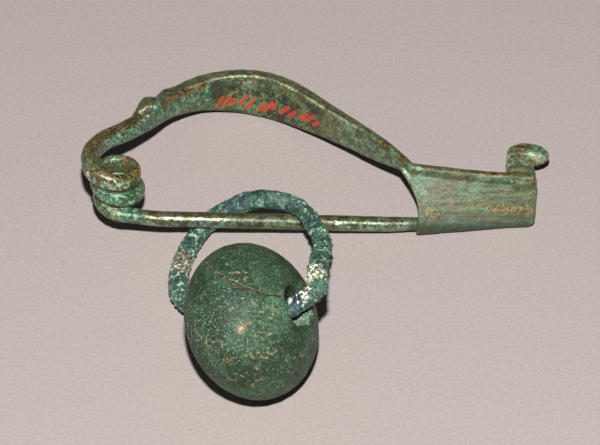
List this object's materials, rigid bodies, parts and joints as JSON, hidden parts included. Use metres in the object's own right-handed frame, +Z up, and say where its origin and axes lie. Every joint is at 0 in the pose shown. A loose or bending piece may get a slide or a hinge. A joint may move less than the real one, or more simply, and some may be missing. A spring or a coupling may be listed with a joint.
{
  "type": "fibula brooch",
  "caption": "Certosa-type bronze bow fibula lying on its side, with a loose ring on its pin and a weathered glass bead on the ring.",
  "frame": {"origin": "centre of the whole box seen from above, on the surface it lies on", "axes": "+X along the fibula from its coil to its catch and foot, +Y from the bead over the pin to the bow, +Z up from the surface it lies on"},
  "size_m": [0.0804, 0.075, 0.0247],
  "materials": {
    "patinated_bronze": "satin green patina worn to golden brown",
    "corroded_bronze": "matt blue-green corrosion crust",
    "weathered_glass": "dark bottle-green, satin, weathered"
  },
  "bodies": {
    "root": {"fibula": "patinated_bronze", "ring": "corroded_bronze", "bead": "weathered_glass"}
  },
  "joints": []
}
